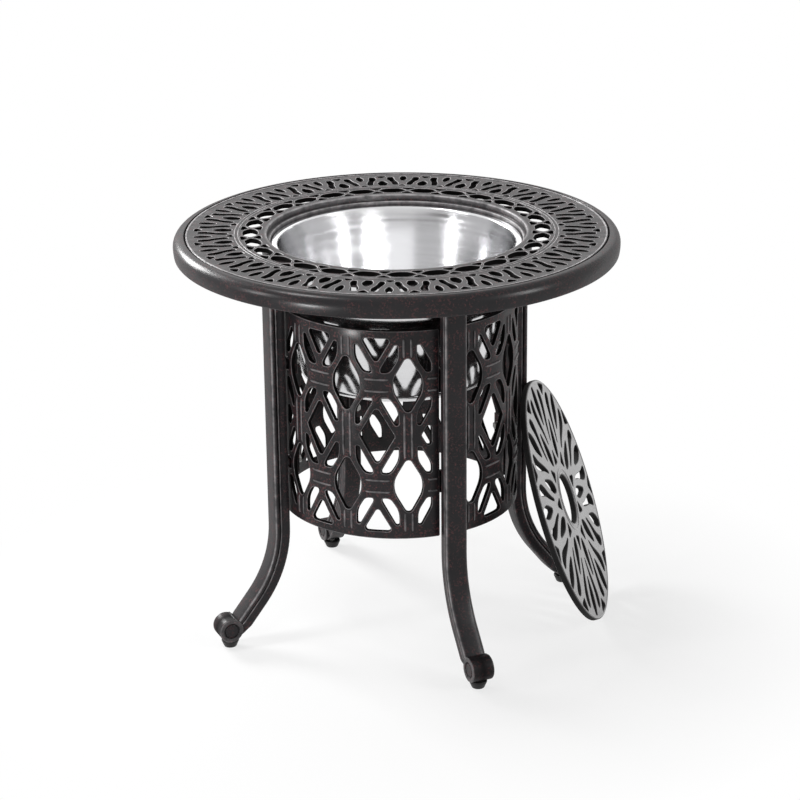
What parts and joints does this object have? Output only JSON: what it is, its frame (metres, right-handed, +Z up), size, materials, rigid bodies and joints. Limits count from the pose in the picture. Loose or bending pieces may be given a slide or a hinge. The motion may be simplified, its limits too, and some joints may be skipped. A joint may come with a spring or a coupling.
{
  "type": "ice bucket side table",
  "caption": "Round cast-aluminium patio side table with pierced top and skirt, scroll-foot legs, a lift-out steel ice bucket and a loose pierced lid leaning on a leg.",
  "frame": {"origin": "on the floor under the centre of the table", "axes": "+Z up, -Y towards the front, legs on the diagonals, the lid leans at the +X side"},
  "size_m": [0.5329, 0.533, 0.5024],
  "materials": {
    "cast_bronze": "antique dark bronze coat with rust-brown speckle and worn bright edges, satin",
    "stainless": "polished",
    "black_glide": "satin black",
    "zinc_steel": "bright zinc plate"
  },
  "bodies": {
    "table": {"table_top": "cast_bronze", "leg_front_left": "cast_bronze", "leg_front_right": "cast_bronze", "leg_rear_right": "cast_bronze", "leg_rear_left": "cast_bronze", "skirt_panel_front": "cast_bronze", "skirt_panel_right": "cast_bronze", "skirt_panel_back": "cast_bronze", "skirt_panel_left": "cast_bronze", "leg_bolts": "zinc_steel", "leg_washers": "zinc_steel", "skirt_bolts": "zinc_steel", "skirt_washers": "zinc_steel"},
    "bucket": {"ice_bucket": "stainless"},
    "lid": {"lid": "cast_bronze"},
    "foot_front_left": {"foot_pad_front_left": "black_glide", "foot_stud_front_left": "zinc_steel"},
    "foot_front_right": {"foot_pad_front_right": "black_glide", "foot_stud_front_right": "zinc_steel"},
    "foot_rear_right": {"foot_pad_rear_right": "black_glide", "foot_stud_rear_right": "zinc_steel"},
    "foot_rear_left": {"foot_pad_rear_left": "black_glide", "foot_stud_rear_left": "zinc_steel"}
  },
  "joints": [
    {"name": "bucket_lift", "type": "slide", "parent": "table", "child": "bucket", "axis": [0, 0, 1], "range_m": [0, 0.24]},
    {"name": "lid_pull_away", "type": "slide", "parent": "table", "child": "lid", "axis": [0.9242, 0.1914, 0.3305], "range_m": [0, 0.25]},
    {"name": "foot_front_left_turn", "type": "hinge", "parent": "table", "child": "foot_front_left", "pos_m": [-0.16122, -0.16122, 0], "axis": [0, 0, 1], "range_deg": [0, 1440]},
    {"name": "foot_front_right_turn", "type": "hinge", "parent": "table", "child": "foot_front_right", "pos_m": [0.16122, -0.16122, 0], "axis": [0, 0, 1], "range_deg": [0, 1440]},
    {"name": "foot_rear_right_turn", "type": "hinge", "parent": "table", "child": "foot_rear_right", "pos_m": [0.16122, 0.16122, 0], "axis": [0, 0, 1], "range_deg": [0, 1440]},
    {"name": "foot_rear_left_turn", "type": "hinge", "parent": "table", "child": "foot_rear_left", "pos_m": [-0.16122, 0.16122, 0], "axis": [0, 0, 1], "range_deg": [0, 1440]}
  ]
}
